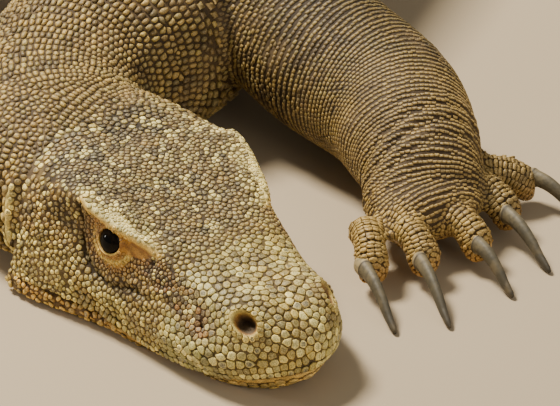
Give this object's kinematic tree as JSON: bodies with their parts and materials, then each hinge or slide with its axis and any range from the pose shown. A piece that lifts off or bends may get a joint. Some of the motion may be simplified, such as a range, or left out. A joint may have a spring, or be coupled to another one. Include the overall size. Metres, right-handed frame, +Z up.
{
  "type": "komodo dragon",
  "caption": "Life-size still model of a Komodo dragon lying flat, head turned back on the ground and one clawed forefoot set forward.",
  "frame": {"origin": "on the floor, under the middle of the animal's box", "axes": "+Z up; +Y along the length from the head towards the tail; +X to the animal's left"},
  "size_m": [0.8078, 2.3636, 0.1944],
  "materials": {
    "hide_head": "pebbled scales, satin",
    "hide_body": "beaded scales in rows, matt",
    "hide_hands": "small scales and ringed digits, matt",
    "claw": "worn horn, satin",
    "eye": "wet gloss"
  },
  "bodies": {
    "root": {"belly": "hide_body", "chest": "hide_body", "eye_left": "eye", "eye_right": "eye", "finger_left_1": "hide_hands", "finger_left_2": "hide_hands", "finger_left_3": "hide_hands", "finger_left_4": "hide_hands", "finger_left_5": "hide_hands", "finger_right_1": "hide_hands", "finger_right_2": "hide_hands", "finger_right_3": "hide_hands", "finger_right_4": "hide_hands", "finger_right_5": "hide_hands", "foot_left": "hide_hands", "foot_right": "hide_hands", "fore_claw_left_1": "claw", "fore_claw_left_2": "claw", "fore_claw_left_3": "claw", "fore_claw_left_4": "claw", "fore_claw_left_5": "claw", "fore_claw_right_1": "claw", "fore_claw_right_2": "claw", "fore_claw_right_3": "claw", "fore_claw_right_4": "claw", "fore_claw_right_5": "claw", "forearm_left": "hide_body", "forearm_right": "hide_body", "hand_left": "hide_hands", "hand_right": "hide_hands", "head": "hide_head", "hind_claw_left_1": "claw", "hind_claw_left_2": "claw", "hind_claw_left_3": "claw", "hind_claw_left_4": "claw", "hind_claw_left_5": "claw", "hind_claw_right_1": "claw", "hind_claw_right_2": "claw", "hind_claw_right_3": "claw", "hind_claw_right_4": "claw", "hind_claw_right_5": "claw", "lower_jaw": "hide_head", "neck_1": "hide_body", "neck_2": "hide_body", "pelvis": "hide_body", "shin_left": "hide_body", "shin_right": "hide_body", "tail_1": "hide_body", "tail_2": "hide_body", "tail_3": "hide_body", "tail_4": "hide_body", "thigh_left": "hide_body", "thigh_right": "hide_body", "upper_arm_left": "hide_body", "upper_arm_right": "hide_body"}
  },
  "joints": []
}
